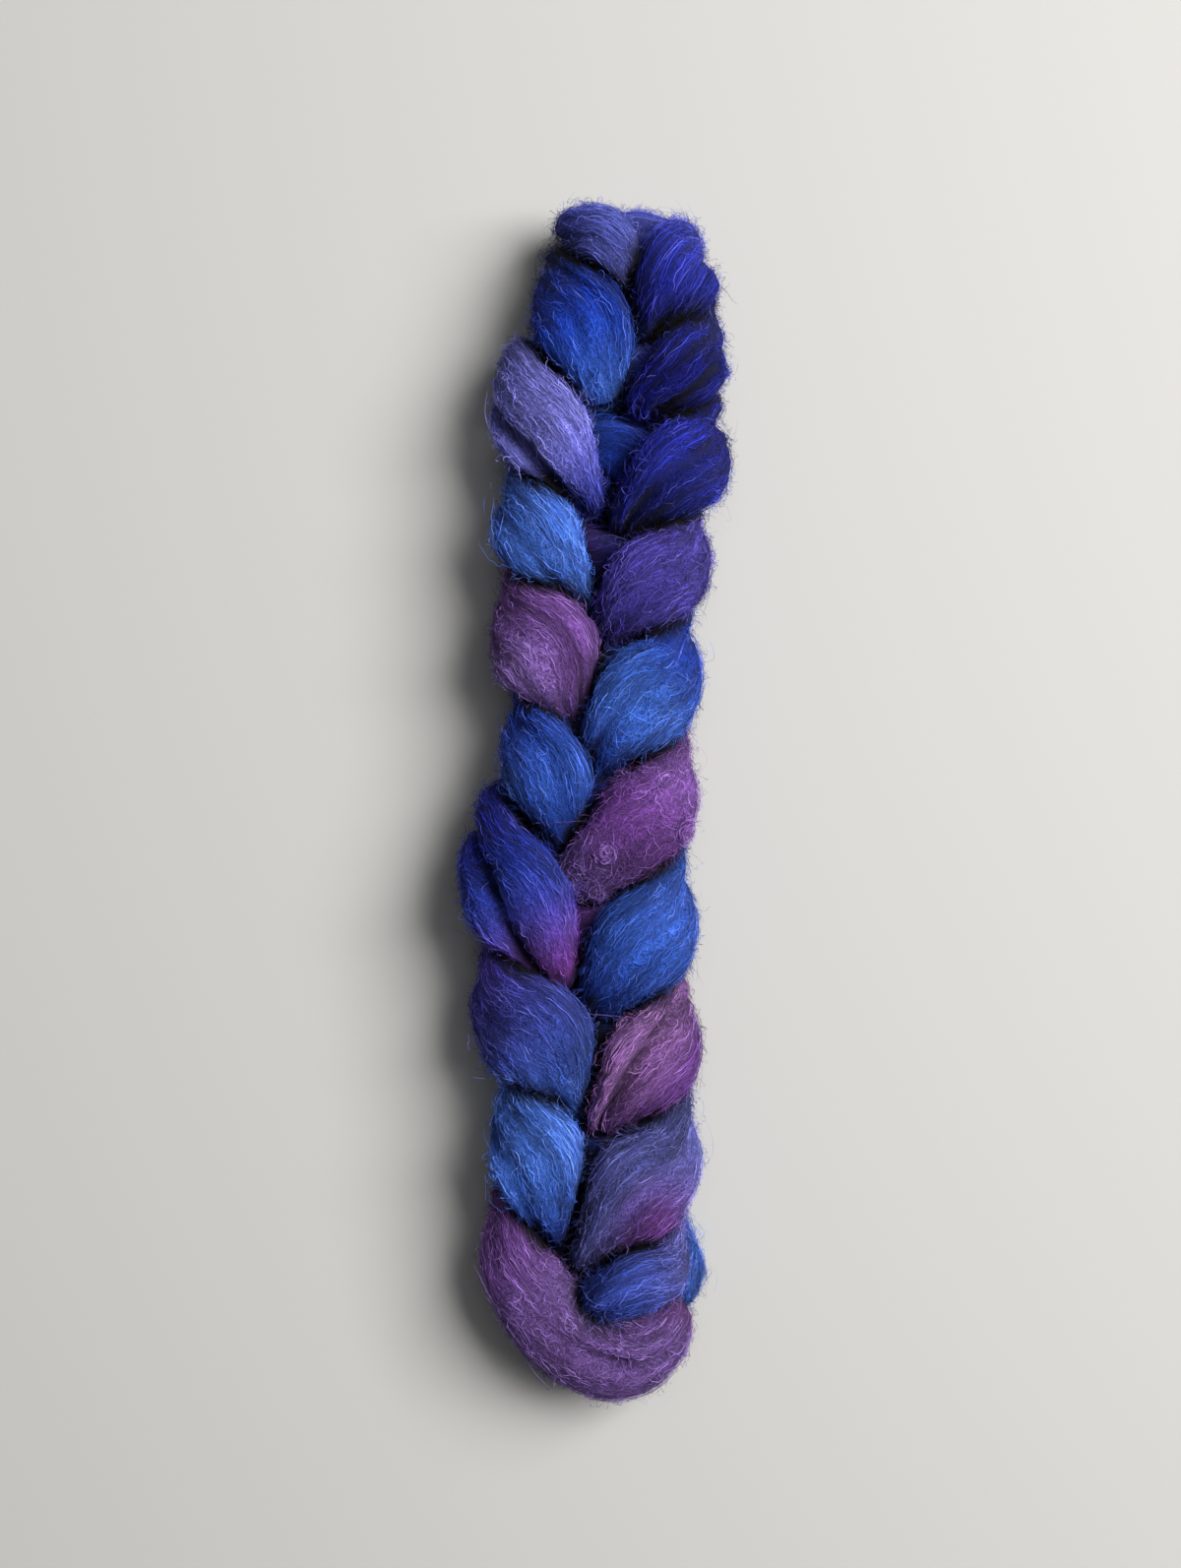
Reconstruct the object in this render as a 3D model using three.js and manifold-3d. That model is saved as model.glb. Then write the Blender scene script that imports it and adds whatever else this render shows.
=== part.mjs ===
// One length of combed wool roving, folded double and chained by hand into a braid, lying flat.
// Millimetres. +Y runs along the braid towards its closed top, +X to its right, +Z up off the table.
import * as THREE from "three";
import { mergeVertices } from "three/addons/utils/BufferGeometryUtils.js";
import Module from "manifold-3d";

const ROUNDNESS = 2.4;          // 2 is an ellipse, more is a fuller strand
const RINGS_SEEN = 3;           // rings from one station to the next where the strand shows
const RINGS_HIDDEN = 1;         // and where it is inside the braid
const STATIONS_PER_SOLID = 3;
const FRONT_SIDES = 12;         // facets on the face that shows
const BACK_SIDES = 4;
const TIGHTEST_BEND = 0.85;     // the inside of a bend is squeezed, never folded through itself
const CREASE_WIDE = 0.18;       // of the half width
const SHORT_EDGE = 0.8;         // slivers where two strands meet are shrunk away below this
const BRAID_MIDDLE = [0.29, -0.43];  // x and y of the middle of the braid's box in the tables below
const BRAID_LONG = 400;         // longer, wider and deeper than the braid, for the table block
const BRAID_WIDE = 140;
const TABLE_DEEP = 40;
const LEAST_TURN = 0.3;         // cosine of the most a facet may turn as a sliver is shrunk

// Height of the middle of the strand above the table at each place along a loop.
const DIVE_Z = 12;
const TIP_Z = 21.6;
const BELLY_Z = 27.6;
const EDGE_Z = 19.8;
const UNDER_Z = 8.5;
const CROSSING_Z = 15.6;
const BACK_Z = 6.7;

// Thickness of the strand at the same places, and width where no table gives it.
const DIVE_THICK = 13.2;
const TIP_THICK = 16.8;
const BELLY_THICK = 20.6;
const EDGE_THICK = 19.2;
const UNDER_THICK = 19.2;
const CROSSING_THICK = 17.8;
const CROSSING_WIDE = 22.8;
const BACK_THICK = 15.6;
const BACK_WIDE = 27.6;
const DIVE_SHARE = 0.9;         // width at the dive, of the width at the tip
const UNDER_SHARE = 0.8;        // width underneath, of the width at the edge
const DIVE_BACK = [1.8, -1.8];  // from the tip to the dive, x towards the middle of the loop
const UNDER_IN = 0.28;          // how far underneath has come from the edge to the crossing, in x
const UNDER_UP = 0.62;          // and in y
const UNDER_PAST = 1.8;         // and then this much further in y

// The packed inside of the braid, where the strand fills all the room there is.
const CORE_Z = 13.8;
const CORE_WIDE = 38.4;
const CORE_THICK = 10.8;
const CORE_ENDS = [[3.6, -141.6], [10.8, 156]];

// Every loop of the chain shows as a left and a right lobe. Each row gives where the strand
// comes up through the loop below (tip), where it is fullest (belly) and where it rolls over
// the side (edge), with its width at each. The crease between its two strands runs so far
// across the lobe, -1 inner to 1 outer, and is so deep as a share of the half thickness.
const LOBE_COLUMNS = [
  "tipX", "tipY", "tipWide", "bellyX", "bellyY", "bellyWide", "edgeX", "edgeY", "edgeWide",
  "creaseAt", "creaseDeep",
];
const LEFT_LOBES = [
  [-12.7, -127.9, 14.4, -16.4, -109.6, 29.4, -20.5, -94.4, 25.8, 0.50, 0.26],  // loop 1
  [-9.1, -86.6, 18.0, -16.2, -72.0, 34.2, -26.9, -57.2, 29.4, 0.20, 0.13],     // loop 2
  [-10.9, -50.8, 16.8, -21.8, -31.1, 33.0, -29.3, -12.8, 29.4, 0.42, 0.45],    // loop 3
  [-10.3, -6.8, 19.2, -13.6, 7.4, 27.6, -17.3, 21.8, 24.6, -0.30, 0.16],       // loop 4
  [-8.5, 30.2, 18.0, -13.8, 44.5, 34.2, -20.5, 57.8, 28.8, 0.00, 0.10],        // loop 5
  [-7.3, 66.1, 15.0, -16.2, 77.8, 25.8, -19.1, 90.8, 25.2, 0.35, 0.13],        // loop 6
  [-3.7, 95.0, 13.8, -14.0, 108.8, 27.6, -21.1, 126.8, 26.4, 0.58, 0.42],      // loop 7
  [1.1, 127.7, 21.0, -3.1, 142.3, 31.8, -7.9, 156.7, 26.4, -0.50, 0.16],       // loop 8
  [11.2, 158.8, 14.4, 4.3, 167.5, 21.0, -3.1, 172.3, 17.4, 0.10, 0.13],        // loop 9
];
const RIGHT_LOBES = [
  [-0.1, -150.4, 12.0, 11.4, -143.6, 20.4, 20.3, -138.1, 20.4, 0.00, 0.16],  // first loop
  [-0.7, -133.1, 16.2, 11.4, -117.6, 31.8, 21.1, -105.2, 29.4, 0.00, 0.16],  // loop 1
  [4.1, -92.4, 13.8, 14.6, -80.9, 28.2, 21.1, -68.9, 28.8, -0.40, 0.38],     // loop 2
  [1.1, -57.7, 17.4, 12.8, -44.4, 31.8, 19.3, -30.0, 30.0, 0.10, 0.16],      // loop 3
  [-2.9, -21.2, 20.4, 10.2, -10.3, 29.4, 20.5, 5.6, 28.2, 0.25, 0.13],       // loop 4
  [0.5, 15.8, 16.2, 12.2, 28.8, 33.0, 21.7, 42.8, 30.0, -0.22, 0.22],        // loop 5
  [4.7, 54.1, 14.4, 16.1, 64.4, 28.2, 24.7, 76.4, 27.6, -0.10, 0.16],        // loop 6
  [11.2, 87.6, 13.2, 23.3, 97.9, 27.6, 30.5, 108.8, 28.8, -0.10, 0.35],      // loop 7
  [16.6, 123.5, 15.6, 26.2, 129.6, 24.6, 29.5, 140.9, 26.4, 0.58, 0.42],     // loop 8
  [16.0, 145.1, 15.6, 24.1, 156.2, 27.6, 22.7, 165.7, 21.6, 0.30, 0.13],     // loop 9
];

// Where each loop's strand crosses from left to right behind the lobes above it.
const CROSSINGS = [
  [2.3, -108.6], [2.3, -74.5], [-1.3, -41.3], [2.3, 0.8], [0.5, 38.9],
  [3.1, 74.4], [5.9, 108.2], [10.7, 133.6], [10.7, 166.7], [10.7, 168.8],
];

// A station is one row of numbers: the middle of the strand, its width and thickness there, the
// way its front faces, and its crease. The start is the short tail and the round bottom bend.
const START = [
  [23.9, -157.9, 7.4, 6.0, 4.8, 1, 0, 0.3, 0, 0],                // end of the tail
  [25.2, -153.1, 8.4, 14.4, 12.0, 1, 0, 0.3, 0, 0],
  [25.7, -143.6, 10.8, 19.2, 15.6, 1, 0, 0.3, 0, 0],
  [21.0, -132.6, 8.4, 20.4, 16.3, 0.5, 0.5, -0.7, 0, 0],         // turned back underneath
  [14.9, -144.6, 7.9, 18.0, 15.8, 0, -0.3, -1, 0, 0],
  [21.6, -151.9, 14.4, 16.8, 14.4, 0.8, -0.5, 0.3, 0, 0],
  [19.1, -159.8, 16.8, 21.6, 21.6, 0.6, -0.6, 0.8, 0, 0],        // the bottom bend, right
  [8.3, -168.2, 16.8, 26.4, 27.6, 0, -0.35, 1, -0.25, 0.32],
  [-6.1, -162.1, 17.4, 28.8, 28.8, -0.1, -0.35, 1, -0.2, 0.16],
  [-17.9, -148.2, 18.0, 25.9, 27.6, -0.3, -0.2, 1, 0, 0],
  [-23.6, -133.1, 18.0, 23.5, 19.2, -1, 0, 0.6, 0, 0],           // left, before it goes under
  [-18.1, -118.8, 8.5, 21.6, 19.2, -0.35, 0.15, -1, 0, 0],
];
const END = [
  [13.8, 144.1, 10.8, 14.4, 14.4, 0, 0, -1, 0, 0],
  [11.4, 134.0, 13.2, 12.0, 14.4, 0, 0, -1, 0, 0],
  [9.6, 125.9, 7.2, 9.6, 12.0, 0, 0, -1, 0, 0],  // tucked in the top loop
];

function named(row) {
  return Object.fromEntries(LOBE_COLUMNS.map((name, i) => [name, row[i]]));
}

// The stations of one lobe, from where it dives between the lobes to where it has gone under.
function lobeStations(row, crossing, side) {
  const lobe = named(row);
  const crease = [lobe.creaseAt, lobe.creaseDeep];
  const underX = lobe.edgeX + (crossing[0] - lobe.edgeX) * UNDER_IN;
  const underY = lobe.edgeY + (crossing[1] - lobe.edgeY) * UNDER_UP + UNDER_PAST;
  const diveX = lobe.tipX - side * DIVE_BACK[0];
  const diveY = lobe.tipY + DIVE_BACK[1];
  return [
    [diveX, diveY, DIVE_Z, lobe.tipWide * DIVE_SHARE, DIVE_THICK, 0, -1, 0.1, 0, 0],
    [lobe.tipX, lobe.tipY, TIP_Z, lobe.tipWide, TIP_THICK, 0, -0.45, 1, crease[0], crease[1] * 0.8],
    [lobe.bellyX, lobe.bellyY, BELLY_Z, lobe.bellyWide, BELLY_THICK, side * 0.15, 0, 1, ...crease],
    [lobe.edgeX, lobe.edgeY, EDGE_Z, lobe.edgeWide, EDGE_THICK, side * 0.8, -0.15, 0.6, ...crease],
    [underX, underY, UNDER_Z, lobe.edgeWide * UNDER_SHARE, UNDER_THICK, side * 0.5, 0.15, -1, 0, 0],
  ];
}

// The whole strand, end to end: each loop goes up its left lobe, across behind, down its
// right lobe and along the back to the next loop.
function strandStations() {
  const stations = [...START];
  let last = RIGHT_LOBES[0];
  stations.push(crossingStation(0), ...lobeStations(last, CROSSINGS[0], 1).reverse());
  LEFT_LOBES.forEach((left, i) => {
    const loop = i + 1;
    const right = RIGHT_LOBES[loop];
    const backX = (last[0] + left[0]) / 2 + 1;
    const backY = (last[1] + left[1]) / 2;
    stations.push([backX, backY, BACK_Z, BACK_WIDE, BACK_THICK, 0, 0, -1, 0, 0]);
    stations.push(...lobeStations(left, CROSSINGS[loop], -1));
    stations.push(crossingStation(loop));
    stations.push(...lobeStations(right, CROSSINGS[loop], 1).reverse());
    last = right;
  });
  return [...stations, ...END];
}

function crossingStation(loop) {
  return [...CROSSINGS[loop], CROSSING_Z, CROSSING_WIDE, CROSSING_THICK, 0, 0.4, -1, 0, 0];
}

// Smooth rows through the stations, every column eased the same way, as one short run for
// each solid. A run ends where the next begins, and is too short to meet itself.
function smoothRuns(stations) {
  const first = stations[0].map((v, i) => 2 * v - stations[1][i]);
  const n = stations.length;
  const last = stations[n - 1].map((v, i) => 2 * v - stations[n - 2][i]);
  const rows = [first, ...stations, last];
  const smooth = [];
  const ends = [];
  for (let k = 0; k < n - 1; k++) {
    if (k % STATIONS_PER_SOLID === 0) ends.push(smooth.length);
    const seen = Math.max(stations[k][2], stations[k + 1][2]) > CROSSING_Z;
    const steps = seen ? RINGS_SEEN : RINGS_HIDDEN;
    for (let step = 0; step < steps; step++) {
      smooth.push(rows[k].map((_, i) => ease(rows, k, i, step / steps)));
    }
  }
  ends.push(smooth.length);
  smooth.push(stations[n - 1]);
  return { smooth, ends };
}

function ease(rows, k, i, t) {
  const [a, b, c, d] = [rows[k][i], rows[k + 1][i], rows[k + 2][i], rows[k + 3][i]];
  const square = 2 * a - 5 * b + 4 * c - d;
  const cube = -a + 3 * b - 3 * c + d;
  return 0.5 * (2 * b + (c - a) * t + square * t * t + cube * t * t * t);
}

// Angles round the strand, close together on the front and wide apart on the back.
function anglesRound() {
  const angles = [];
  for (let i = 0; i < FRONT_SIDES; i++) angles.push(Math.PI * i / FRONT_SIDES);
  for (let i = 0; i < BACK_SIDES; i++) angles.push(Math.PI + Math.PI * i / BACK_SIDES);
  return angles;
}

function swell(value) {
  return Math.sign(value) * Math.abs(value) ** (2 / ROUNDNESS);
}

// One closed ring of points round the strand at row k.
function ringAt(rows, k) {
  const [, , , wide, thick, frontX, frontY, frontZ, creaseAt, creaseDeep] = rows[k];
  const middle = new THREE.Vector3(...rows[k]);
  const along = tangentAt(rows, k);
  const front = new THREE.Vector3(frontX, frontY, frontZ);
  front.addScaledVector(along, -front.dot(along)).normalize();
  const across = new THREE.Vector3().crossVectors(front, along);
  const before = Math.max(k - 1, 0);
  const after = Math.min(k + 1, rows.length - 1);
  const bend = tangentAt(rows, after).sub(tangentAt(rows, before));
  bend.divideScalar(pointAt(rows, before).distanceTo(pointAt(rows, after)));
  return anglesRound().map((angle) => {
    const u = swell(Math.cos(angle));
    const v = swell(Math.sin(angle));
    const dip = v > 0 ? creaseDeep * Math.exp(-(((u - creaseAt) / CREASE_WIDE) ** 2)) : 0;
    const out = across.clone().multiplyScalar(u * wide / 2);
    out.addScaledVector(front, v * (1 - dip) * thick / 2);
    const inside = out.dot(bend);
    if (inside > TIGHTEST_BEND) out.multiplyScalar(TIGHTEST_BEND / inside);
    return out.add(middle);
  });
}

function pointAt(rows, k) {
  return new THREE.Vector3(...rows[k]);
}

function tangentAt(rows, k) {
  const before = pointAt(rows, Math.max(k - 1, 0));
  const after = pointAt(rows, Math.min(k + 1, rows.length - 1));
  return after.sub(before).normalize();
}

// A closed solid between the first and the last of the rings given.
function ringSolid(wasm, rings) {
  const around = rings[0].length;
  const points = rings.flat();
  const faces = [];
  for (let r = 0; r < rings.length - 1; r++) {
    for (let i = 0; i < around; i++) {
      const next = (i + 1) % around;
      const a = r * around + i;
      const b = r * around + next;
      faces.push(a, b, a + around, b, b + around, a + around);
    }
  }
  const top = (rings.length - 1) * around;
  for (let i = 1; i < around - 1; i++) {
    faces.push(0, i + 1, i);
    faces.push(top, top + i, top + i + 1);
  }
  return solidFrom(wasm, points.flatMap((p) => p.toArray()), faces);
}

function solidFrom(wasm, numbers, faces) {
  const mesh = new wasm.Mesh({
    numProp: 3,
    vertProperties: new Float32Array(numbers),
    triVerts: new Uint32Array(faces),
  });
  return new wasm.Manifold(mesh);
}

// The block below the table top, whose cut leaves the flat places the braid lies on.
function tableBlock(wasm) {
  const box = new THREE.BoxGeometry(BRAID_WIDE, BRAID_LONG, TABLE_DEEP);
  box.translate(0, 0, -TABLE_DEEP / 2);
  box.deleteAttribute("normal");
  box.deleteAttribute("uv");
  const merged = mergeVertices(box);
  return solidFrom(wasm, merged.attributes.position.array, merged.index.array);
}

function coreStations() {
  const middles = [CORE_ENDS[0], ...CROSSINGS.slice(0, -2), CORE_ENDS[1]];
  return middles.map(([x, y]) => [x, y, CORE_Z, CORE_WIDE, CORE_THICK, 0, 0, 1, 0, 0]);
}

function ringsOf(rows) {
  return rows.map((_, k) => ringAt(rows, k));
}

// Shrinks each short edge to a point wherever the surface stays closed and none of it turns over.
function withoutShortEdges(points, triangles) {
  const facesAt = points.map(() => new Set());
  triangles.forEach((corners, f) => corners.forEach((v) => facesAt[v].add(f)));
  const neighbours = (v) => new Set([...facesAt[v]].flatMap((f) => triangles[f]).filter((w) => w !== v));
  const normalOf = ([a, b, c]) => new THREE.Triangle(points[a], points[b], points[c])
    .getNormal(new THREE.Vector3());
  const moved = (corners, from, to) => corners.map((v) => (v === from ? to : v));

  function staysClosed(kept, gone) {
    const near = neighbours(kept);
    return [...neighbours(gone)].filter((v) => near.has(v)).length === 2;
  }

  function turnsOver(kept, gone) {
    const carried = [...facesAt[gone]].filter((f) => !triangles[f].includes(kept));
    return carried.some((f) => {
      const after = normalOf(moved(triangles[f], gone, kept));
      return after.dot(normalOf(triangles[f])) < LEAST_TURN || after.length() < 0.5;
    });
  }

  function join(kept, gone) {
    for (const f of [...facesAt[gone]]) {
      if (triangles[f].includes(kept)) {
        triangles[f].forEach((v) => facesAt[v].delete(f));
        triangles[f] = [];
      } else {
        triangles[f] = moved(triangles[f], gone, kept);
        facesAt[kept].add(f);
      }
    }
    facesAt[gone].clear();
  }

  for (let f = 0; f < triangles.length; f++) {
    for (let i = 0; i < 3 && triangles[f].length > 0; i++) {
      const [a, b] = [triangles[f][i], triangles[f][(i + 1) % 3]];
      if (points[a].distanceTo(points[b]) > SHORT_EDGE || !staysClosed(a, b)) continue;
      if (!turnsOver(a, b)) {
        join(a, b);
      } else if (!turnsOver(b, a)) {
        join(b, a);
      }
    }
  }
  return triangles.filter((corners) => corners.length > 0);
}

// The biggest closed body of a solid, as points and triangles, with its slivers shrunk away.
function mainBody(solid) {
  const bodies = solid.decompose().sort((a, b) => b.volume() - a.volume());
  const mesh = bodies[0].getMesh();
  const points = [];
  for (let i = 0; i < mesh.vertProperties.length; i += 3) {
    points.push(new THREE.Vector3().fromArray(mesh.vertProperties, i));
  }
  const triangles = [];
  for (let i = 0; i < mesh.triVerts.length; i += 3) {
    triangles.push([...mesh.triVerts.slice(i, i + 3)]);
  }
  return { points, triangles: withoutShortEdges(points, triangles) };
}

async function rovingGeometry() {
  const wasm = await Module();
  wasm.setup();
  let strand = ringSolid(wasm, ringsOf(coreStations()));
  const { smooth, ends } = smoothRuns(strandStations());
  const rings = ringsOf(smooth);
  for (let i = 0; i < ends.length - 1; i++) {
    strand = strand.add(ringSolid(wasm, rings.slice(ends[i], ends[i + 1] + 1)));
  }
  const lying = strand.subtract(tableBlock(wasm));
  const { points, triangles } = mainBody(lying);
  const geometry = new THREE.BufferGeometry();
  const corners = triangles.flat().flatMap((v) => points[v].toArray());
  geometry.setAttribute("position", new THREE.BufferAttribute(new Float32Array(corners), 3));
  geometry.translate(-BRAID_MIDDLE[0], -BRAID_MIDDLE[1], 0);
  return geometry;
}

const wool = new THREE.MeshStandardMaterial({ color: 0x4a4fae, roughness: 0.95 });
wool.name = "wool";

const roving = new THREE.Mesh(await rovingGeometry(), wool);
roving.name = "roving";

const braid = new THREE.Group();
braid.name = "wool_roving_braid";
braid.add(roving);

export default braid;
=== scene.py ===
"""Looks of a hand-chained braid of dyed wool roving: one strand's surface and its loose fibres."""

import math

import bpy
import numpy as np
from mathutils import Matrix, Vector

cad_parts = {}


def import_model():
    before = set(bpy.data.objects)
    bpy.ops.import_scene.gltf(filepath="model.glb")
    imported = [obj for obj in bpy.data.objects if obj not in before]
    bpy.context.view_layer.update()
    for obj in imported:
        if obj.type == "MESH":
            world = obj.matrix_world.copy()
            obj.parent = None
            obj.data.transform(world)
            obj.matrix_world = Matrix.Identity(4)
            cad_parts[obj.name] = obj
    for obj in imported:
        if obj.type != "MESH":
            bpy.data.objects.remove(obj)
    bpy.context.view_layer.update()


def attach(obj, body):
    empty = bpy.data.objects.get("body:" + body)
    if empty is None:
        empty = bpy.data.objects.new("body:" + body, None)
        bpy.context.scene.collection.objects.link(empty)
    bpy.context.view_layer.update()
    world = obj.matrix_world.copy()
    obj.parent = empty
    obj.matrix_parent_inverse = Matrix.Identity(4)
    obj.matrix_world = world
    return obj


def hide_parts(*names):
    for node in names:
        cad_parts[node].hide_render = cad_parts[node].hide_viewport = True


MM = 0.001
SEED = 11
TINY = 1e-9

# The strand, in millimetres. Its stations are those of the part's source, but for the two lobes
# at its top and the crossing behind them, which are fuller here. The rows were first placed
# over the photo. For loops 1 to 8 a fitting program then moved the x of bellies and edges towards
# an outline read off the photo, and other programs turned all the rows into millimetres.
ROUNDNESS = 2.4
TIGHTEST_BEND = 0.85
CREASE_WIDE = 0.16
CREASE_GAIN = 1.25  # the creases are sharper here than in the faceted solid
BRAID_MIDDLE = (0.29, -0.43)

DIVE_Z = 12
TIP_Z = 21.6
BELLY_Z = 27.6
EDGE_Z = 19.8
UNDER_Z = 8.5
CROSSING_Z = 15.6
BACK_Z = 6.7

DIVE_THICK = 13.2
TIP_THICK = 16.8
BELLY_THICK = 20.6
EDGE_THICK = 19.2
UNDER_THICK = 19.2
CROSSING_THICK = 17.8
CROSSING_WIDE = 22.8
BACK_THICK = 15.6
BACK_WIDE = 27.6
DIVE_SHARE = 0.9
UNDER_SHARE = 0.8
DIVE_BACK = (1.8, -1.8)
UNDER_IN = 0.28
UNDER_UP = 0.62
UNDER_PAST = 1.8
BACK_PAST = 1
TIP_CREASE = 0.8  # of the lobe's full crease

# Which way the strand's front faces at the stations of a right lobe, and behind the lobes.
DIVE_FRONT = (0, -1, 0.1)
TIP_FRONT = (0, -0.45, 1)
BELLY_FRONT = (0.15, 0, 1)
EDGE_FRONT = (0.8, -0.15, 0.6)
UNDER_FRONT = (0.5, 0.15, -1)
CROSSING_FRONT = (0, 0.4, -1)
BACK_FRONT = (0, 0, -1)

# tip x, y and width, belly x, y and width, edge x, y and width, crease across and depth
LEFT_LOBES = [
    (-12.7, -127.9, 14.4, -16.4, -109.6, 29.4, -20.5, -94.4, 25.8, 0.50, 0.26),
    (-9.1, -86.6, 18.0, -16.2, -72.0, 34.2, -26.9, -57.2, 29.4, 0.20, 0.13),
    (-10.9, -50.8, 16.8, -21.8, -31.1, 33.0, -29.3, -12.8, 29.4, 0.42, 0.45),
    (-10.3, -6.8, 19.2, -13.6, 7.4, 27.6, -17.3, 21.8, 24.6, -0.30, 0.16),
    (-8.5, 30.2, 18.0, -13.8, 44.5, 34.2, -20.5, 57.8, 28.8, 0.00, 0.10),
    (-7.3, 66.1, 15.0, -16.2, 77.8, 25.8, -19.1, 90.8, 25.2, 0.35, 0.13),
    (-3.7, 95.0, 13.8, -14.0, 108.8, 27.6, -21.1, 126.8, 26.4, 0.58, 0.42),
    (1.1, 127.7, 21.0, -3.1, 142.3, 31.8, -7.9, 156.7, 26.4, -0.50, 0.16),
    (11.2, 158.8, 14.4, 4.3, 167.5, 21.6, -3.5, 171.8, 19.8, 0.10, 0.13),
]
RIGHT_LOBES = [
    (-0.1, -150.4, 12.0, 11.4, -143.6, 20.4, 20.3, -138.1, 20.4, 0.00, 0.16),
    (-0.7, -133.1, 16.2, 11.4, -117.6, 31.8, 21.1, -105.2, 29.4, 0.00, 0.16),
    (4.1, -92.4, 13.8, 14.6, -80.9, 28.2, 21.1, -68.9, 28.8, -0.40, 0.38),
    (1.1, -57.7, 17.4, 12.8, -44.4, 31.8, 19.3, -30.0, 30.0, 0.10, 0.16),
    (-2.9, -21.2, 20.4, 10.2, -10.3, 29.4, 20.5, 5.6, 28.2, 0.25, 0.13),
    (0.5, 15.8, 16.2, 12.2, 28.8, 33.0, 21.7, 42.8, 30.0, -0.22, 0.22),
    (4.7, 54.1, 14.4, 16.1, 64.4, 28.2, 24.7, 76.4, 27.6, -0.10, 0.16),
    (11.2, 87.6, 13.2, 23.3, 97.9, 27.6, 30.5, 108.8, 28.8, -0.10, 0.35),
    (16.6, 123.5, 15.6, 26.2, 129.6, 24.6, 29.5, 140.9, 26.4, 0.58, 0.42),
    (16.0, 145.1, 15.6, 23.6, 156.8, 28.8, 24.2, 163.9, 27.0, 0.30, 0.13),
]
CROSSINGS = [
    (2.3, -108.6),
    (2.3, -74.5),
    (-1.3, -41.3),
    (2.3, 0.8),
    (0.5, 38.9),
    (3.1, 74.4),
    (5.9, 108.2),
    (10.7, 133.6),
    (10.7, 166.7),
    (11.2, 170.2),
]

# middle x, y, z, width, thickness, the way the front faces, crease across and depth
START = [
    (23.9, -157.9, 7.4, 6.0, 4.8, 1, 0, 0.3, 0, 0),
    (25.2, -153.1, 8.4, 14.4, 12.0, 1, 0, 0.3, 0, 0),
    (25.7, -143.6, 10.8, 19.2, 15.6, 1, 0, 0.3, 0, 0),
    (21.0, -132.6, 8.4, 20.4, 16.3, 0.5, 0.5, -0.7, 0, 0),
    (14.9, -144.6, 7.9, 18.0, 15.8, 0, -0.3, -1, 0, 0),
    (21.6, -151.9, 14.4, 16.8, 14.4, 0.8, -0.5, 0.3, 0, 0),
    (19.1, -159.8, 16.8, 21.6, 21.6, 0.6, -0.6, 0.8, 0, 0),
    (8.3, -168.2, 16.8, 26.4, 27.6, 0, -0.35, 1, -0.25, 0.32),
    (-6.1, -162.1, 17.4, 28.8, 28.8, -0.1, -0.35, 1, -0.2, 0.16),
    (-17.9, -148.2, 18.0, 25.9, 27.6, -0.3, -0.2, 1, 0, 0),
    (-23.6, -133.1, 18.0, 23.5, 19.2, -1, 0, 0.6, 0, 0),
    (-18.1, -118.8, 8.5, 21.6, 19.2, -0.35, 0.15, -1, 0, 0),
]
END = [
    (13.8, 144.1, 10.8, 14.4, 14.4, 0, 0, -1, 0, 0),
    (11.4, 134.0, 13.2, 12.0, 14.4, 0, 0, -1, 0, 0),
    (9.6, 125.9, 7.2, 9.6, 12.0, 0, 0, -1, 0, 0),
]

# The columns of a station, and how many stations a lobe has and a whole loop.
MIDDLE = slice(0, 3)
WIDE = 3
THICK = 4
FRONT = slice(5, 8)
CREASE_AT = 8
CREASE_DEEP = 9
LOBE_STATIONS = 5
LOOP_STATIONS = 2 * LOBE_STATIONS + 2

# The dyes, in display red, green and blue. They were named and first chosen. Their values
# and places were then adjusted against average colours measured at 60 spots of the photo.
DYES = {
    "cobalt": (30, 68, 186),
    "deep cobalt": (24, 48, 148),
    "sky": (52, 92, 196),
    "azure": (70, 116, 226),
    "bright sky": (84, 134, 250),
    "periwinkle": (90, 98, 210),
    "dusty periwinkle": (100, 104, 188),
    "iris": (70, 78, 202),
    "lavender": (124, 124, 222),
    "pale periwinkle": (108, 118, 230),
    "pale lavender": (132, 132, 236),
    "mauve": (140, 106, 186),
    "navy": (26, 32, 146),
    "midnight": (18, 22, 96),
    "indigo": (40, 50, 178),
    "violet": (76, 66, 178),
    "dark violet": (44, 36, 120),
    "purple": (78, 66, 170),
    "orchid": (138, 90, 180),
    "magenta": (122, 70, 162),
    "fuchsia": (156, 76, 184),
    "pale orchid": (184, 128, 212),
    "lilac": (150, 114, 202),
    "plum": (126, 92, 168),
    "grey violet": (86, 72, 144),
    "slate blue": (72, 92, 200),
}

# Where the dyes lie: loop, then for its left and its right lobe the dye at the tip, the belly
# and the edge, and last the dye of the crossing behind them.
DYED = [
    (None, ("slate blue", "slate blue", "lavender"), "deep cobalt"),
    (("cobalt", "bright sky", "bright sky"), ("grey violet", "magenta", "lavender"), "deep cobalt"),
    (("azure", "slate blue", "violet"), ("magenta", "magenta", "magenta"), "magenta"),
    (("fuchsia", "iris", "indigo"), ("cobalt", "sky", "sky"), "cobalt"),
    (("cobalt", "sky", "cobalt"), ("lilac", "magenta", "orchid"), "deep cobalt"),
    (("lilac", "mauve", "plum"), ("cobalt", "azure", "cobalt"), "dark violet"),
    (("bright sky", "bright sky", "azure"), ("violet", "purple", "purple"), "cobalt"),
    (("iris", "pale lavender", "lavender"), ("midnight", "indigo", "navy"), "periwinkle"),
    (("azure", "cobalt", "deep cobalt"), ("navy", "navy", "indigo"), "periwinkle"),
    (("lavender", "pale periwinkle", "iris"), ("navy", "indigo", "iris"), "periwinkle"),
]
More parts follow.
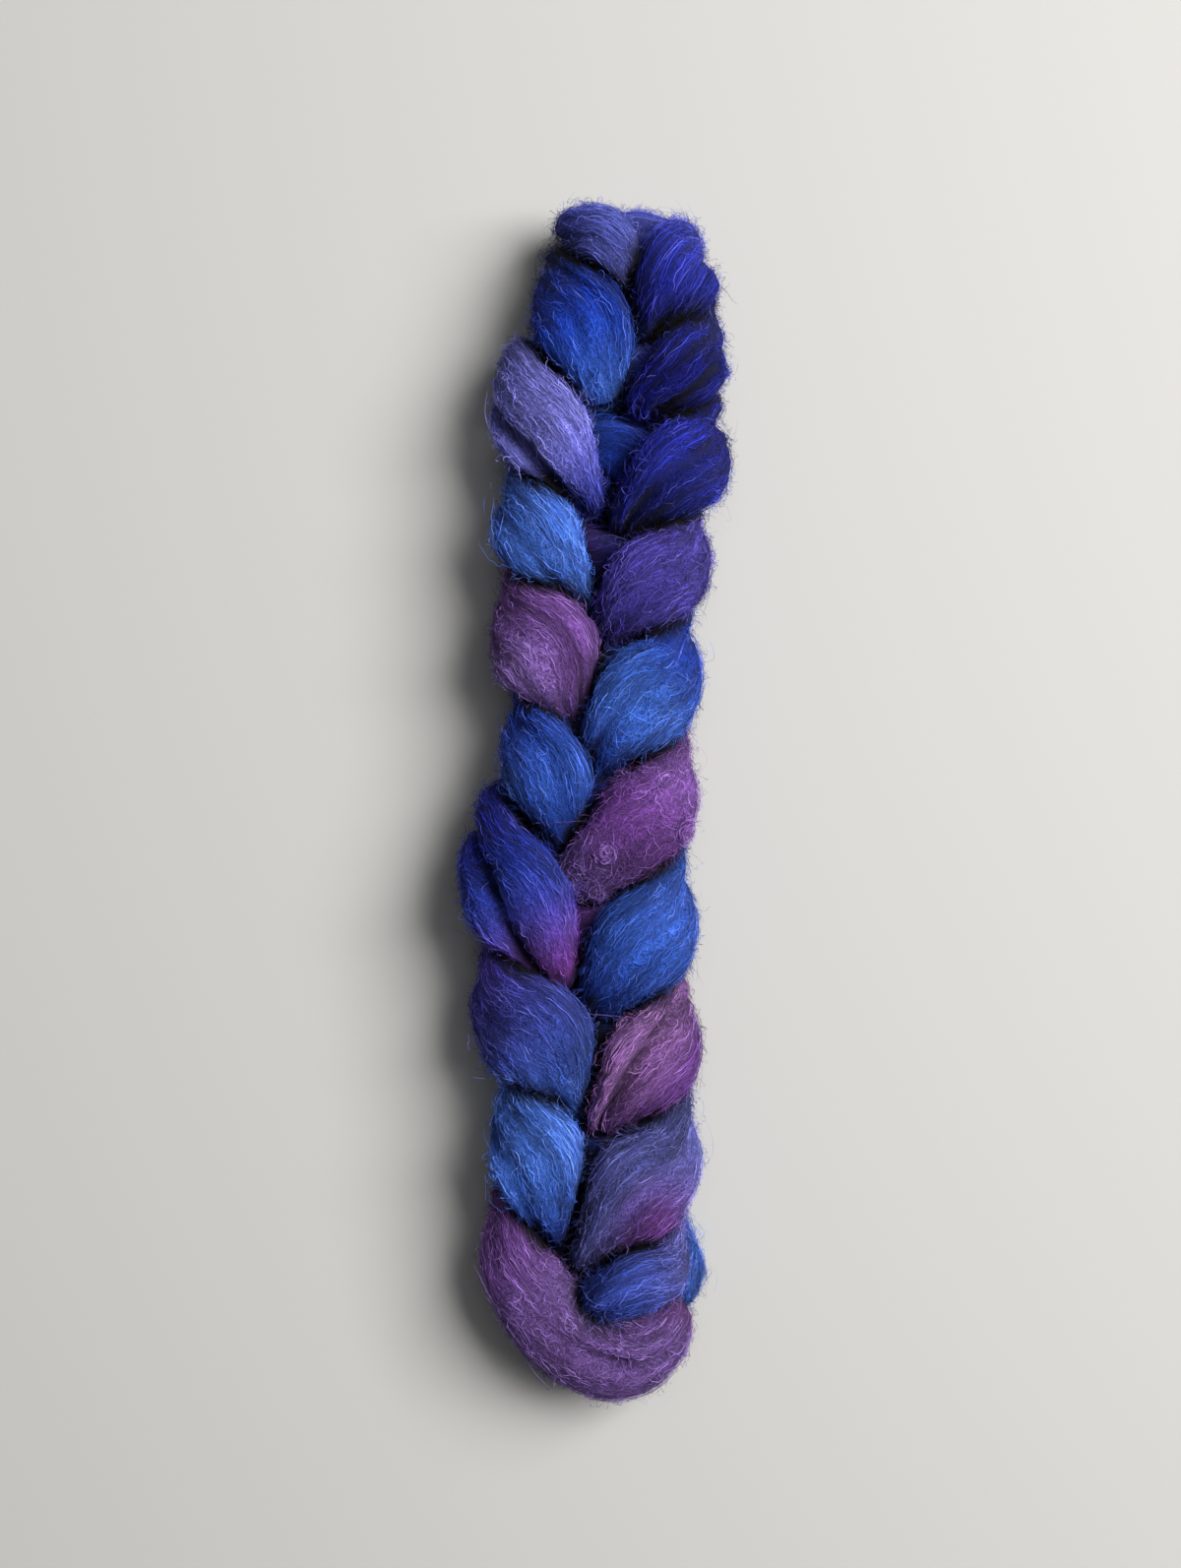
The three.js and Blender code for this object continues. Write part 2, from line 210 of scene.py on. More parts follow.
TUCKED_STATIONS = 5  # of the strand's first end, which shows beside the bend
START_DYES = ["azure"] * TUCKED_STATIONS + ["orchid"] + ["plum"] * 4 + ["orchid", "plum"]
END_DYES = ["grey violet", "lavender", "lavender"]
# Dyes that differ across a lobe: the loop, its side, and the dye of its upper half.
UPPER_DYES = {
    (1, "right"): "dusty periwinkle",
    (2, "right"): "pale orchid",
    (5, "left"): "orchid",
}
DYE_DRIFT = 0.5  # how far the line between the two halves strays
DYE_STRAY_LONG = 11.0
DYE_STRAY_PAST = 30
DYE_STRAY_ROUND = 0.8
DYE_EDGE = 1.4  # how sharp it is
DYE_LEAST = 0.002
# Crossings that lie open to the light, of the loops, and how open: less painted crevice shade.
OPEN_CROSSINGS = {2: 0.7, 3: 0.3, 5: 0.5, 6: 0.5, 7: 0.6, 8: 0.6, 9: 0.8}
TUCKED_OPEN = 0.9
# Lobe tips that lie open to it, with less painted crevice shade.
OPEN_TIPS = {(4, "right"): 1.0, (3, "left"): 0.4, (5, "left"): 0.8, (6, "right"): 0.4}
# Lobes whose fibres are matted: the loop, its side, and how matted.
MATTED = [(4, "right", 1.0), (5, "right", 0.25), (6, "right", 0.3), (3, "right", 0.1)]
BEND_STATIONS = slice(6, 11)
BEND_MATTED = 0.35
# Felted curls on the front: x, y, radius, height, and how many fibres are wound in each.
CURLS = [
    (1.9, -14.9, 3.2, 1.2, 80),
    (27.6, -9.6, 4.5, 3.0, 110),
]

# Grooves where the roving is folded: the loop, its side, how far across they are at the lobe's
# tip and at its edge, and how deep, up to 1.
GROOVES = [
    (1, "left", -0.5, -0.3, 0.5),
    (1, "left", 0.2, 0.35, 0.4),
    (1, "right", -0.7, -0.5, 0.35),
    (2, "right", -0.2, -0.6, 0.9),
    (2, "right", 0.1, -0.2, 0.4),
    (3, "left", 0.65, 0.0, 1.0),
    (3, "left", 0.1, -0.3, 0.3),
    (4, "left", -0.1, -0.1, 0.25),
    (5, "left", -0.6, -0.4, 0.6),
    (5, "left", 0.5, 0.6, 0.4),
    (5, "right", -0.35, -0.1, 0.6),
    (6, "left", 0.3, 0.3, 0.3),
    (6, "right", 0.1, 0.1, 0.25),
    (7, "left", 0.3, 0.6, 0.8),
    (7, "left", 0.0, 0.1, 0.3),
    (7, "right", -0.1, -0.15, 1.0),
    (7, "right", 0.4, 0.4, 0.5),
    (8, "right", 0.5, 0.5, 0.9),
    (8, "right", -0.15, -0.15, 0.5),
    (9, "right", 0.2, 0.2, 0.35),
]
# Creases that run aslant: how far across they are at the lobe's tip and at its edge.
SLANTED_CREASES = {(3, "left"): (0.65, 0.0), (2, "right"): (-0.2, -0.6)}

# The surface.
RINGS_PER_STATION = 6
SIDES = 36
LOCK_RELIEF = 0.6  # height of the locks of fibre that run along the strand, in millimetres
LOCK_LEVEL = 0.6  # the height of lock that lies on the strand's own outline
DENT_RELIEF = 0.7  # depth of the soft uneven places
GROOVE_RELIEF = 1.6
GROOVE_WIDE = 0.11
GROOVE_SWAY = 0.1
# Painted shade in the grooves: how much darker their deepest line is.
GROOVE_PAINTED_SHADE = 0.92
# Painted shade in the crevices beside other stretches of the strand: how dark at most, and how far
# it reaches.
PAINTED_CREVICE_SHADE = 0.985
PAINTED_CREVICE_REACH = 2.6
CREVICE_DEEP = 2.0  # how far the surface draws in beside another stretch of the strand
CREVICE_REACH = 2.2
# Painted shade under the fibres: the body is darker than the fibres over it.
BODY_PAINTED_SHADE = 0.5  # of the light of its fibres
COMB_RADIUS = 13.0  # of the tube on which the streaks of the surface are laid out
MAP_ROWS = 16
MAP_MARGIN = 0.04

# Streaks of noise along the strand: how many lie side by side round it, how long they are in
# millimetres, and how far along the noise they are taken from.
BLOTCHES = (4, 13, 60)
WAVES = (24, 1.7, 150)
THREADS = (88, 9, 200)
BROAD_DENTS = (7, 9, 120)
LONG_DENTS = (5, 17, 20)
# The locks are three such streaks, each with its share of the height and of the sway.
LOCKS = [
    ((12, 46, 0), 0.45, 1),
    ((34, 24, 50), 0.35, 3),
    ((80, 15, 90), 0.2, 7),
]
# Slow sways along the strand: how long, how far along the noise and in which row of it.
LOCK_SWAYING = (31, 40, 7.0)
GROOVE_SWAYING = (9, 5, 3.0)
THREAD_WAVE = 0.9

# How light the wool is at the lowest of each kind of streak, and how much lighter at the highest.
# The locks' tone follows their relief: painted shade in the grooves between them, with the wool's
# own uneven tone.
LOCK_TONE_AND_SHADE = (0.64, 0.66)
BLOTCH_LIGHT = (0.7, 0.6)
THREAD_LIGHT = (0.55, 0.9)
# Brightness is held back where it is high, and works more on the deep dyes.
HELD_GAIN = 1.18
HELD_BACK = 0.25
DEEP_GAIN = 0.5
DEEP_CONTRAST = 0.9
DEEP_BELOW = 0.12
EYE_SHARES = (0.2, 0.7, 0.1)  # of red, green and blue in how light a dye looks
DARKEST = 0.0006

# Looking for the strand's top over a place: the step along it, the steps round it, how near.
SEARCH_STEP = 1.5
SEARCH_TURNS = 60
SEARCH_NEAR = 1.6

# The room beside another stretch of the strand: the most that counts, how far out it is looked
# for, how long a stretch counts as the same, and how far a row of the strand reaches along it.
ROOM_MOST = 20.0
ROOM_SEARCH = 7
SAME_STRETCH = 26
ROOM_EVERY = 3
ROW_REACH = 0.6

# The combed fibres, in millimetres and radians.
FIBRE_PIECES = 3
FIBRES_EACH = 13500
FIBRE_STEPS = 6
FIBRE_LONG = (3.0, 6.5)
FIBRE_WIDE = (0.09, 0.19)
CRIMP_LONG = (2.6, 4.8)
CRIMP_SWING = (0.15, 0.5)  # how far a crimped fibre's heading swings
CRIMP_STRAY = 0.12
COMBED_CURL = 0.25
COMBED_HEADING = 0.12
LOOSE_CURL = 1.0
LOOSE_HEADING = 0.6
MATTED_CURL = 1.6
LOOSE_SHARE = 0.07  # of the combed fibres, and how much more where they are matted
MATTED_SHARE = 0.75
FIBRE_LIFT = (-0.1, 0.6)
FIBRE_BOW = 0.2
FIBRE_JITTER = 0.08
FIBRE_ROLL = 0.7
ROUND_SHARE = 0.8  # of half the strand's width: the radius that a fibre turns on
ROUND_LEAST = 4
END_GAP = 0.1
RAISED_SHARE = 0.15
RAISED_HIGH = (0.2, 1.2)
# Painted sheen: the share of combed fibres made paler and greyer.
COMBED_SHEEN_SHARE = 0.25

# The loose fibres.
FUZZ_PIECES = 3
FUZZ_EACH = 10500
FUZZ_STEPS = 6
FUZZ_LONG = (2.5, 5.5)
FUZZ_WIDE = (0.07, 0.14)
FUZZ_HIGH = 1.2
FUZZ_CURL = 2.4
FLYAWAYS = 2200
FLYAWAY_STEPS = 10
FLYAWAY_LONG = (6.0, 20.0)
FLYAWAY_WIDE = (0.06, 0.12)
FLYAWAY_HIGH = 1.6
FLYAWAY_CURL = 1.8
LOOSE_RIM = 0.85  # how much more of them stand at the sides than on the front
LOOSE_TURN = 0.9
LOOSE_SWING = (0.3, 0.7)
LOOSE_CRIMP = (2.4, 4.6)
LOOSE_RISE = (0.15, 2.6)  # of their usual height
LOOSE_DROOP = 100
STANDING_SHARE = 0.5  # of them have one end free, and the others are loops
STANDING_CURVE = 0.8
# Painted crevice shade on the loose fibres: their lowest light, and how much more they take from
# it.
LOOSE_PAINTED_SHADE = (0.05, 0.8)
# Painted sheen: the share of loose fibres made paler and greyer.
LOOSE_SHEEN_SHARE = 0.4

# The felted curls: how their arcs run, ripple and rise, and their tones.
CURL_WIDE = (0.14, 0.26)
CURL_STEPS = 14
CURL_INNER = 0.08
CURL_SWEEP = (1.2, 4.5)
CURL_ARC = 2.2
CURL_WAVES = (3, 7)
CURL_PHASE = 6.28
CURL_RIPPLE = 0.08
CURL_OFF = 0.15
CURL_DOME = 1.3
CURL_HIGH = (0.1, 1)
CURL_ROCK = (-0.2, 0.5)
CURL_ROCKS = 5
CURL_ROLL = 0.5
CURL_TONE = (0.5, 1.3)
CURL_GREY = 0.15
CURL_HAZE = 0.004

# Where the fibres are rooted: how many more places are tried, and which of them are kept.
ROOT_SPARE = 2.6
RIM_SPARE = 3
ROOT_LOWEST = 0.8
ROOT_BURIED = -0.8
FRONT_FROM = -0.2
BACK_SHARE = 0.45

# The tones of the fibres, and the painted sheen of the pale ones: paler, greyer, with a bluish
# haze.
DARK_SHARE = 0.42
DARK_TONE = (0.16, 0.7)
LIGHT_TONE = (1.0, 1.6)
SHEEN_PALE_GAIN = 1.15
SHEEN_PALE_GREY = 0.25
PAINTED_SHEEN_LIGHT = (0.008, 0.035)
PAINTED_SHEEN_TINT = (0.9, 0.95, 1.6)

# The ribbons: how their ends taper, how low they may lie, and their cells in the map.
TAPER_FROM = 0.12
TAPER_POWER = 0.6
RIBBON_LOWEST = 0.02
CELLS_ACROSS = 64
CELLS_UP = 256
CELL_LONG = (0.1, 0.8)  # where a ribbon starts in its cell, and how much of it it fills
CELL_WIDE = (0.2, 0.6)

# The wool and the floor.
BODY_ROUGHNESS = 0.9
FIBRE_ROUGHNESS = 0.65
SPECULAR = 0.1
SHEEN = 0.03
SHEEN_ROUGHNESS = 0.5
BODY_TONES = (0.0, 1.0, 0.6, 2.3)  # the grain from and to, and the tone from and to
FIBRE_TONES = (0.3, 0.72, 0.8, 1.2)
BUMP_STRENGTH = 0.9
BUMP_HEIGHT = 0.0006
CRIMP_PUSH = ((0.75, 0.4, 0.4), 1.7)  # the stretch of a noise, and how far it pushes a thread
WANDER_PUSH = ((0.09, 0.12, 0.12), 9.0)
THREAD_STRETCHES = ((0.16, 1.5, 1.5), (0.24, 2.6, 2.6))
THREAD_ROUGHNESS = 0.6
THREAD_WIDE = 0.09
SPECKLE_SCALE = 400.0
FLOOR_COLOUR = (0.452, 0.448, 0.436, 1)
FLOOR_ROUGHNESS = 0.95
FLOOR_SIZE = 4
FLOOR_DROP = 0.0002

# The lights: name, place, what they face, size, power and colour.
LIGHTS = [
    ("window", (1.25, 0.5, 1.5), (0, 0, 0.01), 1.35, 82.0, (1.0, 0.99, 0.97)),
    ("sky", (0.1, 0.2, 1.1), (0, 0, 0), 0.8, 2.0, (0.98, 0.99, 1.0)),
]
ROOM_COLOUR = (0.9, 0.93, 1.0, 1)
ROOM_LIGHT = 0.06

# The camera stands straight above the braid.
PICTURE = (1200, 1593)
MM_PER_PIXEL = 0.3
CAMERA_UP = 720.0
CAMERA_FOCUS = 19.2
PICTURE_MIDDLE = (-1.35, 5.55)
SENSOR = 36
CLIP_START = 0.01


def display_to_light(rgb):
    """A display colour, 0 to 255, as linear light."""
    c = np.asarray(rgb, float) / 255.0
    return np.where(c <= 0.04045, c / 12.92, ((c + 0.055) / 1.055) ** 2.4)


# The strand's stations ------------------------------------------------------------------


def lobe_stations(row, crossing, side):
    """The stations of one lobe, from where it dives to where it has gone under."""
    tip_x, tip_y, tip_wide, belly_x, belly_y, belly_wide, edge_x, edge_y, edge_wide, at, deep = row
    under_x = edge_x + (crossing[0] - edge_x) * UNDER_IN
    under_y = edge_y + (crossing[1] - edge_y) * UNDER_UP + UNDER_PAST
    under_wide = edge_wide * UNDER_SHARE
    dive_x = tip_x - side * DIVE_BACK[0]
    dive_y = tip_y + DIVE_BACK[1]
    dive_wide = tip_wide * DIVE_SHARE
    return [
        (dive_x, dive_y, DIVE_Z, dive_wide, DIVE_THICK, *facing(DIVE_FRONT, side), 0, 0),
        (tip_x, tip_y, TIP_Z, tip_wide, TIP_THICK, *facing(TIP_FRONT, side), at, deep * TIP_CREASE),
        (belly_x, belly_y, BELLY_Z, belly_wide, BELLY_THICK, *facing(BELLY_FRONT, side), at, deep),
        (edge_x, edge_y, EDGE_Z, edge_wide, EDGE_THICK, *facing(EDGE_FRONT, side), at, deep),
        (under_x, under_y, UNDER_Z, under_wide, UNDER_THICK, *facing(UNDER_FRONT, side), 0, 0),
    ]


def facing(front, side):
    """A front for the right side, turned over for the left."""
    return side * front[0], front[1], front[2]


def crossing_station(loop):
    return (*CROSSINGS[loop], CROSSING_Z, CROSSING_WIDE, CROSSING_THICK, *CROSSING_FRONT, 0, 0)


def strand_stations():
    """Every station of the strand, end to end."""
    rows = list(START)
    last = RIGHT_LOBES[0]
    rows.append(crossing_station(0))
    rows.extend(reversed(lobe_stations(last, CROSSINGS[0], 1)))
    for loop, left in enumerate(LEFT_LOBES, start=1):
        right = RIGHT_LOBES[loop]
        back_x = (last[0] + left[0]) / 2 + BACK_PAST
        back_y = (last[1] + left[1]) / 2
        rows.append((back_x, back_y, BACK_Z, BACK_WIDE, BACK_THICK, *BACK_FRONT, 0, 0))
        rows.extend(lobe_stations(left, CROSSINGS[loop], -1))
        rows.append(crossing_station(loop))
        rows.extend(reversed(lobe_stations(right, CROSSINGS[loop], 1)))
        last = right
    rows.extend(END)
    rows = np.array(rows, float)
    for (loop, side), (tip, edge) in SLANTED_CREASES.items():
        rows[lobe_rows(loop, side), CREASE_AT] = aslant(side, tip, edge)
    return rows


def strand_dyes():
    """The dye at every station, and the dye of the strand's upper half there."""
    lower = [DYES[name] for name in START_DYES]
    upper = list(lower)

    def add(name, upper_name=None):
        lower.append(DYES[name])
        upper.append(DYES[upper_name or name])

    def add_lobe(dyes, upper_name, falling):
        tip, belly, edge = dyes
        names = [tip, tip, belly, edge, edge]
        for name in reversed(names) if falling else names:
            add(name, upper_name)

    add(DYED[0][2])
    add_lobe(DYED[0][1], None, True)
    for loop in range(1, len(DYED)):
        left, right, crossing = DYED[loop]
        add(left[0])
        add_lobe(left, UPPER_DYES.get((loop, "left")), False)
        add(crossing)
        add_lobe(right, UPPER_DYES.get((loop, "right")), True)
    for name in END_DYES:
        add(name)
    return display_to_light(lower), display_to_light(upper)


def lobe_start(loop, side):
    """The index of the first station of a loop's left or right lobe."""
    first = len(START) + 1 + LOBE_STATIONS + (loop - 1) * LOOP_STATIONS + 1
    return first + LOBE_STATIONS + 1 if side == "right" else first


def lobe_rows(loop, side):
    """The stations of a loop's left or right lobe."""
    first = lobe_start(loop, side)
    return slice(first, first + LOBE_STATIONS)


def aslant(side, tip, edge):
    """Values at the five stations of a lobe that go from one at its tip to one at its edge."""
    values = [tip, tip, (tip + edge) / 2, edge, edge]
    return values if side == "left" else values[::-1]


def strand_marks():
    """For every station how open to the light it lies, and how matted its fibres are."""
    marks = np.zeros((len(strand_stations()), 2))
    marks[:TUCKED_STATIONS, 0] = TUCKED_OPEN
    for loop, share in OPEN_CROSSINGS.items():
        marks[lobe_start(loop, "left") + LOBE_STATIONS, 0] = share
    for (loop, side), share in OPEN_TIPS.items():
        marks[lobe_start(loop, side) + (1 if side == "left" else 3), 0] = share
    marks[BEND_STATIONS, 1] = BEND_MATTED
    for loop, side, share in MATTED:
        marks[lobe_rows(loop, side), 1] = share
    return marks


def strand_grooves():
    """For every station two grooves, each with how far across it is and how deep."""
    stations = len(strand_stations())
    grooves = np.zeros((stations, 2, 2))
    found = {}
    for loop, side, tip, edge, deep in GROOVES:
        first = lobe_start(loop, side)
        row = found.get((loop, side), 0)
        found[loop, side] = row + 1
        grooves[lobe_rows(loop, side), row, 0] = aslant(side, tip, edge)
        grooves[first + 1 : first + LOBE_STATIONS - 1, row, 1] = deep
    return grooves


def eased(rows, per_station):
    """Smooth rows through the given ones, each column a Catmull-Rom curve."""
    rows = np.vstack([2 * rows[0] - rows[1], rows, 2 * rows[-1] - rows[-2]])
    a, b, c, d = rows[:-3], rows[1:-2], rows[2:-1], rows[3:]
    t = (np.arange(per_station) / per_station)[None, :, None]
    a, b, c, d = (v[:, None, :] for v in (a, b, c, d))
    square = 2 * a - 5 * b + 4 * c - d
    cube = -a + 3 * b - 3 * c + d
    smooth = 0.5 * (2 * b + (c - a) * t + square * t**2 + cube * t**3)
    return np.vstack([smooth.reshape(-1, rows.shape[1]), rows[-2:-1]])


def unit(v):
    return v / np.maximum(np.linalg.norm(v, axis=-1, keepdims=True), TINY)


class Strand:
    """The strand's middle line, section and dyes at close steps, and its surface anywhere."""

    STEPS = 12

    def __init__(self):
        rows = eased(strand_stations(), self.STEPS)
        self.middle = rows[:, MIDDLE]
        self.wide = rows[:, WIDE] / 2
        self.thick = rows[:, THICK] / 2
        self.crease_at = rows[:, CREASE_AT]
        self.crease_deep = rows[:, CREASE_DEEP] * CREASE_GAIN
        travel = np.gradient(self.middle, axis=0)
        speed = np.linalg.norm(travel, axis=1, keepdims=True)
        self.along = travel / speed
        self.bend = np.gradient(self.along, axis=0) / speed
        front = rows[:, FRONT]
        front = front - (front * self.along).sum(1, keepdims=True) * self.along
        self.front = unit(front)
        self.across = np.cross(self.front, self.along)
        strides = np.linalg.norm(np.diff(self.middle, axis=0), axis=1)
        self.run = np.concatenate([[0], np.cumsum(strides)])
        lower, upper = strand_dyes()
        self.dye_lower = np.clip(eased(lower, self.STEPS), DYE_LEAST, 1)
        self.dye_upper = np.clip(eased(upper, self.STEPS), DYE_LEAST, 1)
        grooves = strand_grooves()
        self.grooves = eased(grooves.reshape(len(grooves), -1), self.STEPS)
        marks = np.clip(eased(strand_marks(), self.STEPS), 0, 1)
        self.open = marks[:, 0]
        self.matted = marks[:, 1]
        self.count = len(rows)

    def at(self, values, run):
        """Values kept at the close steps, read at distances along the strand."""
        place = np.interp(run, self.run, np.arange(self.count))
        low = np.clip(place.astype(int), 0, self.count - 2)
        share = place - low
        if values.ndim > 1:
            share = share[..., None]
        return values[low] * (1 - share) + values[low + 1] * share

    def surface(self, run, angle, lift=0.0):
        """Points at these distances along and angles round the strand, and which way is out."""
        u = swell(np.cos(angle))
        v = swell(np.sin(angle))
        wide = self.at(self.wide, run)
        thick = self.at(self.thick, run)
        at = self.at(self.crease_at, run)
        deep = self.at(self.crease_deep, run)
        dip = np.where(v > 0, deep * np.exp(-(((u - at) / CREASE_WIDE) ** 2)), 0)
        across = unit(self.at(self.across, run))
        front = unit(self.at(self.front, run))
        offset = across * (u * wide)[..., None] + front * (v * (1 - dip) * thick)[..., None]
        inside = (offset * self.at(self.bend, run)).sum(-1)
        held = np.where(inside > TIGHTEST_BEND, TIGHTEST_BEND / np.maximum(inside, TINY), 1)
        offset *= held[..., None]
        out = unit(across * (u / wide)[..., None] + front * (v / thick)[..., None])
        rise = LOCK_RELIEF * (locks(run, angle) - LOCK_LEVEL)
        rise = rise - DENT_RELIEF * dents(run, angle) + lift
        rise = rise - GROOVE_RELIEF * self.groove(run, angle)
        points = self.at(self.middle, run) + offset + out * rise[..., None]
        return points, out

    def front_at(self, x, y):
        """The topmost place of the surface over x and y: the point, the way out, run and angle."""
        runs = np.arange(1, self.run[-1], SEARCH_STEP)
        run, angle = np.meshgrid(runs, np.linspace(0, 2 * np.pi, SEARCH_TURNS))
        points, out = self.surface(run, angle)
        away = np.hypot(points[..., 0] - x, points[..., 1] - y)
        best = np.argmax(np.where(away < SEARCH_NEAR, points[..., 2], -1 - away))
        here = np.unravel_index(best, run.shape)
        return points[here], out[here], run[here], angle[here]

    def groove(self, run, angle):
        """How deep in a groove each place is, up to 1."""
        u = swell(np.cos(angle)) + GROOVE_SWAY * (swaying(GROOVE_SWAYING, run) - 0.5)
        deep = np.zeros(np.shape(u))
        rows = self.at(self.grooves, run)
        for i in range(0, rows.shape[-1], 2):
            line = np.exp(-(((u - rows[..., i]) / GROOVE_WIDE) ** 2))
            deep = np.maximum(deep, line * np.clip(rows[..., i + 1], 0, 1) * (np.sin(angle) > 0))
        return deep

    def brightness(self, run, angle):
        """How light the wool lies: in locks, blotches and threads, with painted shade in its
        grooves and between its locks.
        """
        waves = THREAD_WAVE * streaks(WAVES, run, angle)
        # Lighter on the locks and darker between them: painted shade with uneven tone.
        even = between(LOCK_TONE_AND_SHADE, locks(run, angle))
        even = even * between(BLOTCH_LIGHT, streaks(BLOTCHES, run, angle))
        even = even * between(THREAD_LIGHT, streaks(THREADS, run, angle, waves))
        # Painted shade darkens the grooves.
        return even * (1 - GROOVE_PAINTED_SHADE * self.groove(run, angle))

    def dye(self, run, angle):
        """The dye at these places, in linear light."""
        stray = noise(run / DYE_STRAY_LONG + DYE_STRAY_PAST, angle * DYE_STRAY_ROUND) - 0.5
        u = np.cos(angle) + DYE_DRIFT * stray
        share = np.clip(0.5 - DYE_EDGE * u, 0, 1)[..., None]
        return self.at(self.dye_lower, run) * (1 - share) + self.at(self.dye_upper, run) * share


def swell(value):
    """A sine or cosine, spread so that the section is a rounded rectangle and no ellipse."""
    return np.sign(value) * np.abs(value) ** (2 / ROUNDNESS)


def between(lowest_and_gain, share):
    lowest, gain = lowest_and_gain
    return lowest + gain * share


# Chance that is the same on every run ---------------------------------------------------

GRAIN_SIZE = 256
GRAIN = np.random.default_rng(SEED).random((GRAIN_SIZE, GRAIN_SIZE))


def noise(x, y, period=GRAIN_SIZE):
    """Smooth noise from 0 to 1 that repeats in x after the period."""
    xi = np.floor(x).astype(int)
    yi = np.floor(y).astype(int)
    fx = x - xi
    fy = y - yi
    fx = fx * fx * (3 - 2 * fx)
    fy = fy * fy * (3 - 2 * fy)
    left, right = xi % period, (xi + 1) % period
    low, high = yi % GRAIN_SIZE, (yi + 1) % GRAIN_SIZE
    a, b, c, d = GRAIN[left, low], GRAIN[right, low], GRAIN[left, high], GRAIN[right, high]
    return (a * (1 - fx) + b * fx) * (1 - fy) + (c * (1 - fx) + d * fx) * fy


def streaks(kind, run, angle, sway=0.0):
    """Streaks of one kind along the strand, pushed aside by the sway, from 0 to 1."""
    count, long, past = kind
    return noise(angle / (2 * np.pi) * count + sway, run / long + past, count)


def swaying(kind, run):
    """A slow sway along the strand, from 0 to 1."""
    long, past, row = kind
    return noise(run / long + past, np.full_like(run, row))


def locks(run, angle):
    """Long locks of fibre side by side along the strand, from 0 in their grooves to 1."""
    sway = swaying(LOCK_SWAYING, run)
    height = 0.0
    for kind, share, sways in LOCKS:
        height = height + share * streaks(kind, run, angle, sways * sway)
    return height


def dents(run, angle):
    """Soft uneven places all over, as deep as 1."""
    return streaks(BROAD_DENTS, run, angle) * streaks(LONG_DENTS, run, angle)


# Building meshes ------------------------------------------------------------------------


def add_mesh(name, points, quads, colours, uvs, smooth=True):
    """A mesh object, in metres, from points and colours per point and a map per corner."""
    mesh = bpy.data.meshes.new(name)
    mesh.vertices.add(len(points))
    mesh.vertices.foreach_set("co", (points * MM).astype(np.float32).ravel())
    mesh.loops.add(quads.size)
    mesh.loops.foreach_set("vertex_index", quads.astype(np.int32).ravel())
    mesh.polygons.add(len(quads))
    mesh.polygons.foreach_set("loop_start", np.arange(0, quads.size, 4, dtype=np.int32))
    mesh.polygons.foreach_set("use_smooth", np.full(len(quads), smooth))
    mesh.update(calc_edges=True)
    dye = mesh.color_attributes.new("dye", "FLOAT_COLOR", "POINT")
    rgba = np.ones((len(points), 4), np.float32)
    rgba[:, :3] = colours
    dye.data.foreach_set("color", rgba.ravel())
    uv_map = mesh.uv_layers.new(name="OFBake")
    uv_map.data.foreach_set("uv", uvs.astype(np.float32).ravel())
    thing = bpy.data.objects.new(name, mesh)
    bpy.context.scene.collection.objects.link(thing)
    return thing


def grid_quads(rows, columns, closed=False):
    """The faces of a grid of points, row by row, its rows closed into rings if asked."""
    last = columns if closed else columns - 1
    r, c = np.meshgrid(np.arange(rows - 1), np.arange(last), indexing="ij")
    a = r * columns + c
    b = r * columns + (c + 1) % columns
    return np.stack([a, b, b + columns, a + columns], axis=-1).reshape(-1, 4)


def depth_of(colours):
    """How deep each dye is to the eye, from 0 for the middling and pale ones to 1."""
    return np.clip(1 - colours @ np.array(EYE_SHARES) / DEEP_BELOW, 0, 1)


def shade(colours, brightness):
    """The colours made lighter or darker, the brightest held back, and the dark dyes more so."""
    deep = depth_of(colours)
    brightness = HELD_GAIN * brightness / (1 + HELD_BACK * brightness)
    brightness = (1 + DEEP_GAIN * deep) * brightness ** (1 + DEEP_CONTRAST * deep)
    return np.clip(colours * brightness[..., None], DARKEST, 1)


def strand_body(strand):
    """The strand's own surface, under its fibres."""
    rings = (len(strand_stations()) - 1) * RINGS_PER_STATION + 1
    run = np.linspace(0, strand.run[-1], rings)[:, None] * np.ones(SIDES)
    angle = np.ones((rings, 1)) * np.linspace(0, 2 * np.pi, SIDES, endpoint=False)
    points, out = strand.surface(run, angle)
    room = room_beside(strand, points.reshape(-1, 3), run.ravel()).reshape(run.shape)
    points = points - out * drawn_in(room)[..., None] - (*BRAID_MIDDLE, 0)
    points[..., 2] = np.maximum(points[..., 2], 0)
    # Painted shade: darker in the crevices, and the whole body darker than the fibres over it.
    light = shaded_by_neighbours(strand, run, room) * BODY_PAINTED_SHADE
    colours = shade(strand.dye(run, angle), light * strand.brightness(run, angle))
    quads = grid_quads(rings, SIDES, closed=True)
    # The map: the strand cut into lengths that lie side by side.
    ring = quads // SIDES
    side = quads % SIDES
    side = np.where((side == 0) & (quads[:, [0]] % SIDES == SIDES - 1), SIDES, side)
    per_row = math.ceil(rings / MAP_ROWS)
    row = np.repeat(ring[:, [0]] // per_row, 4, axis=1)
    u = (ring - row * per_row + 0.5) / (per_row + 1)
    v = (row + MAP_MARGIN + (1 - 2 * MAP_MARGIN) * side / SIDES) / MAP_ROWS
    uvs = np.stack([u, v], axis=-1).reshape(-1, 2)
    body = add_mesh("roving_body", points.reshape(-1, 3), quads, colours.reshape(-1, 3), uvs)
    comb = np.stack([run, COMB_RADIUS * np.cos(angle), COMB_RADIUS * np.sin(angle)], axis=-1)
    place = body.data.attributes.new("comb", "FLOAT_VECTOR", "POINT")
    place.data.foreach_set("vector", comb.astype(np.float32).ravel())
    return body


